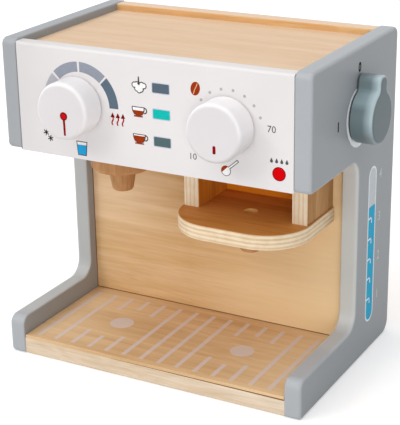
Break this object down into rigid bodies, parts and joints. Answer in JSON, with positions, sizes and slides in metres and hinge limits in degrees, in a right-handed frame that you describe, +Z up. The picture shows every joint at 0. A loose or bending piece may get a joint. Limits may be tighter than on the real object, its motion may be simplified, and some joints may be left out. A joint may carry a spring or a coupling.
{
  "type": "toy coffee maker",
  "caption": "Wooden toy coffee maker: open cup bay between C-shaped side panels, turning dials on the front, a turning steam lever on the side and a plywood filter bracket.",
  "frame": {"origin": "middle of the footprint of the side panels, on the floor that the toy stands on", "axes": "+X to the right seen from the front, the front faces -Y, +Z up"},
  "size_m": [0.2445, 0.162, 0.227],
  "materials": {
    "grey_paint": "satin paint on board",
    "white_paint": "satin paint on board",
    "light_veneer": "matt lacquer",
    "warm_veneer": "matt lacquer",
    "plywood": "matt lacquer",
    "beech": "matt lacquer",
    "teal_paint": "satin paint",
    "steel": "zinc plated"
  },
  "bodies": {
    "housing": {"left_side_panel": "grey_paint", "right_side_panel": "grey_paint", "front_panel": "white_paint", "top_panel": "light_veneer", "rear_panel": "warm_veneer", "head_floor": "light_veneer", "bay_wall": "light_veneer", "bay_wall_cleats": "beech", "base_board": "plywood", "drip_plate": "warm_veneer", "bracket_left_wall": "plywood", "bracket_right_wall": "plywood", "bracket_shelf": "plywood", "shelf_nozzle": "beech", "outlet_cup": "beech", "outlet_nozzle": "beech", "outlet_screw": "steel", "bracket_screws": "steel", "shelf_screws": "steel", "left_dowels": "beech", "right_dowels": "beech"},
    "temperature_dial": {"temperature_knob": "white_paint", "temperature_axle": "beech", "temperature_washer": "plywood", "temperature_screw": "steel"},
    "grinder_dial": {"grinder_knob": "white_paint", "grinder_axle": "beech", "grinder_washer": "plywood", "grinder_screw": "steel"},
    "steam_handle": {"steam_lever": "teal_paint", "steam_axle": "beech", "steam_washer": "plywood", "steam_screw": "steel"}
  },
  "joints": [
    {"name": "temperature_turn", "type": "hinge", "parent": "housing", "child": "temperature_dial", "pos_m": [-0.0545, -0.065, 0.1877], "axis": [0, -1, 0], "continuous": true},
    {"name": "grinder_turn", "type": "hinge", "parent": "housing", "child": "grinder_dial", "pos_m": [0.0565, -0.065, 0.1877], "axis": [0, -1, 0], "continuous": true},
    {"name": "steam_turn", "type": "hinge", "parent": "housing", "child": "steam_handle", "pos_m": [0.114, 0.0085, 0.1826], "axis": [1, 0, 0], "range_deg": [0, 180]}
  ]
}
